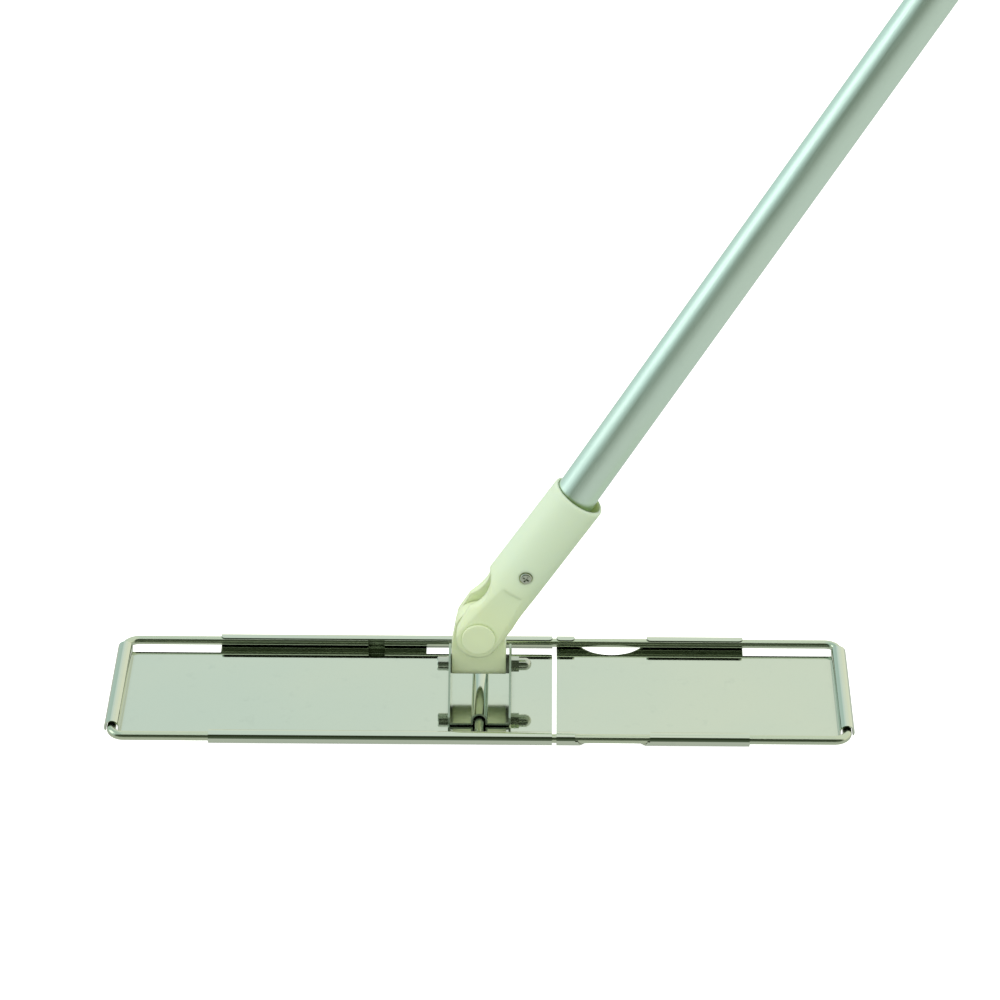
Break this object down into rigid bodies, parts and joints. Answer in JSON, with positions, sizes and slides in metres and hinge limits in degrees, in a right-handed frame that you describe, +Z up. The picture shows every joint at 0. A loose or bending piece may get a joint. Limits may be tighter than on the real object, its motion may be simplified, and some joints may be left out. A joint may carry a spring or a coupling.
{
  "type": "flat mop",
  "caption": "Flat mop holder: a long stainless frame of two plates on a wire loop, a cream folding joint and a leaning tube handle.",
  "frame": {"origin": "middle of the frame's footprint, on the underside of the plates", "axes": "+X along the frame, the way the handle leans; +Y to the back; +Z up, out of the plates"},
  "size_m": [0.8962, 0.118, 1.13],
  "materials": {
    "polished_sheet": "mirror polished",
    "bright_rod": "bright drawn",
    "bracket_sheet": "polished",
    "fastener_steel": "bright",
    "washer_nylon": "matte",
    "cream_nylon": "satin",
    "satin_tube": "satin anodised",
    "cap_plastic": "satin"
  },
  "bodies": {
    "frame": {"right_plate": "polished_sheet", "right_frame_wire": "bright_rod", "cross_rod": "bright_rod", "saddle_bracket": "bracket_sheet", "rod_keeper": "bracket_sheet", "bracket_bolt": "fastener_steel", "spring_washer": "fastener_steel", "cap_nut": "fastener_steel", "bolt_spacer": "fastener_steel", "thrust_washer_left": "washer_nylon", "thrust_washer_right": "washer_nylon"},
    "left_end": {"left_plate": "polished_sheet", "left_frame_wire": "bright_rod"},
    "block": {"joint_block": "cream_nylon"},
    "handle": {"handle_socket": "cream_nylon", "pivot_pin": "cream_nylon", "pin_cap": "cream_nylon", "pin_screw": "fastener_steel", "socket_screw": "fastener_steel", "handle_pole": "satin_tube", "pole_end_cap": "cap_plastic"}
  },
  "joints": [
    {"name": "frame_slide", "type": "slide", "parent": "frame", "child": "left_end", "axis": [-1, 0, 0], "range_m": [-0.0022, 0.026]},
    {"name": "handle_swing", "type": "hinge", "parent": "frame", "child": "block", "pos_m": [0, 0.0025, 0.021], "axis": [1, 0, 0], "range_deg": [-50, 50]},
    {"name": "handle_tilt", "type": "hinge", "parent": "block", "child": "handle", "pos_m": [-0.00075, 0.0025, 0.0477], "axis": [0, 1, 0], "range_deg": [-108.5, 41.5]}
  ]
}
